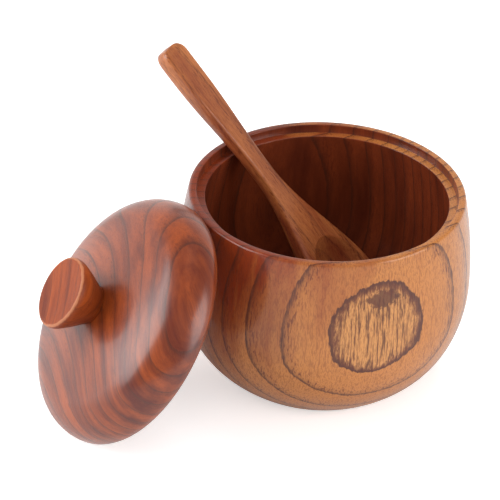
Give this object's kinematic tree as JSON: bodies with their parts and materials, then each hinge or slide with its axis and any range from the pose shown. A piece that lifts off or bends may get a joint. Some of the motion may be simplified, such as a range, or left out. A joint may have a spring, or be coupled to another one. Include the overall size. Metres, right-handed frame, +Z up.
{
  "type": "sugar bowl",
  "caption": "Turned wooden sugar bowl with its knobbed lid leaning against it and a carved wooden spoon standing inside.",
  "frame": {"origin": "centre of the bowl's flat foot, on the surface that it stands on", "axes": "+Z up along the bowl's turning axis, -Y towards the viewer, so the lid leans at -X and the spoon's handle points to -X and +Y"},
  "size_m": [0.1364, 0.1214, 0.0958],
  "materials": {
    "bowl_wood": "glossy",
    "lid_wood": "glossy",
    "knob_wood": "glossy",
    "dowel_wood": "matte",
    "spoon_wood": "satin"
  },
  "bodies": {
    "bowl": {"bowl": "bowl_wood"},
    "lid": {"lid": "lid_wood", "lid_knob": "knob_wood", "knob_dowel": "dowel_wood"},
    "spoon": {"spoon": "spoon_wood"}
  },
  "joints": [
    {"name": "lid_lift", "type": "slide", "parent": "bowl", "child": "lid", "axis": [-0.7808, -0.3021, 0.5468], "range_m": [0, 0.08]},
    {"name": "spoon_lift", "type": "slide", "parent": "bowl", "child": "spoon", "axis": [0, 0, 1], "range_m": [0, 0.075]}
  ]
}
